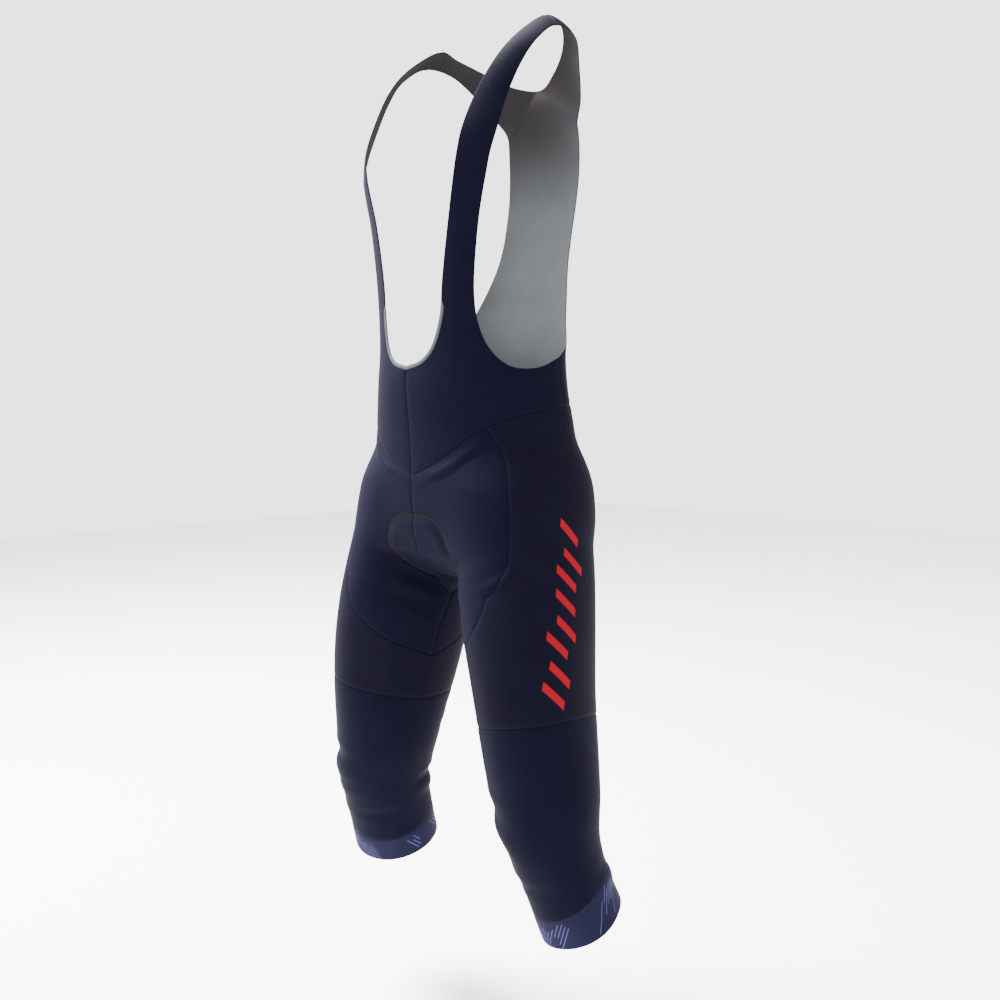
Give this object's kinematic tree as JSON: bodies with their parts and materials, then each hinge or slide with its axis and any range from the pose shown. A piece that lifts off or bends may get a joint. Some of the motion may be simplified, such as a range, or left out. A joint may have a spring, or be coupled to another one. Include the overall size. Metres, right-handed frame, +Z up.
{
  "type": "three-quarter bib tights",
  "caption": "Navy three-quarter cycling bib tights with shoulder straps, a racer back, a seat pad and elastic cuffs, standing open in worn shape.",
  "frame": {"origin": "midway between the tops of the two shoulder straps, where the shoulders carry them", "axes": "+Z up along the body, -Y the wearer's front, +X the wearer's left"},
  "size_m": [0.479, 0.2464, 1.1212],
  "materials": {
    "navy_knit": "satin stretch knit, grey inside",
    "dark_knit": "satin stretch knit, grey inside",
    "cuff_elastic": "satin elastic",
    "grey_binding": "matt",
    "pad_foam": "matt"
  },
  "bodies": {
    "root": {"bib_front_left": "navy_knit", "bib_front_right": "navy_knit", "bib_back": "navy_knit", "front_thigh_left": "navy_knit", "front_thigh_right": "navy_knit", "side_thigh_left": "dark_knit", "side_thigh_right": "dark_knit", "seat_left": "navy_knit", "seat_right": "navy_knit", "knee_left": "navy_knit", "knee_right": "navy_knit", "cuff_left": "cuff_elastic", "cuff_right": "cuff_elastic", "neck_binding": "grey_binding", "seat_pad": "pad_foam"}
  },
  "joints": []
}
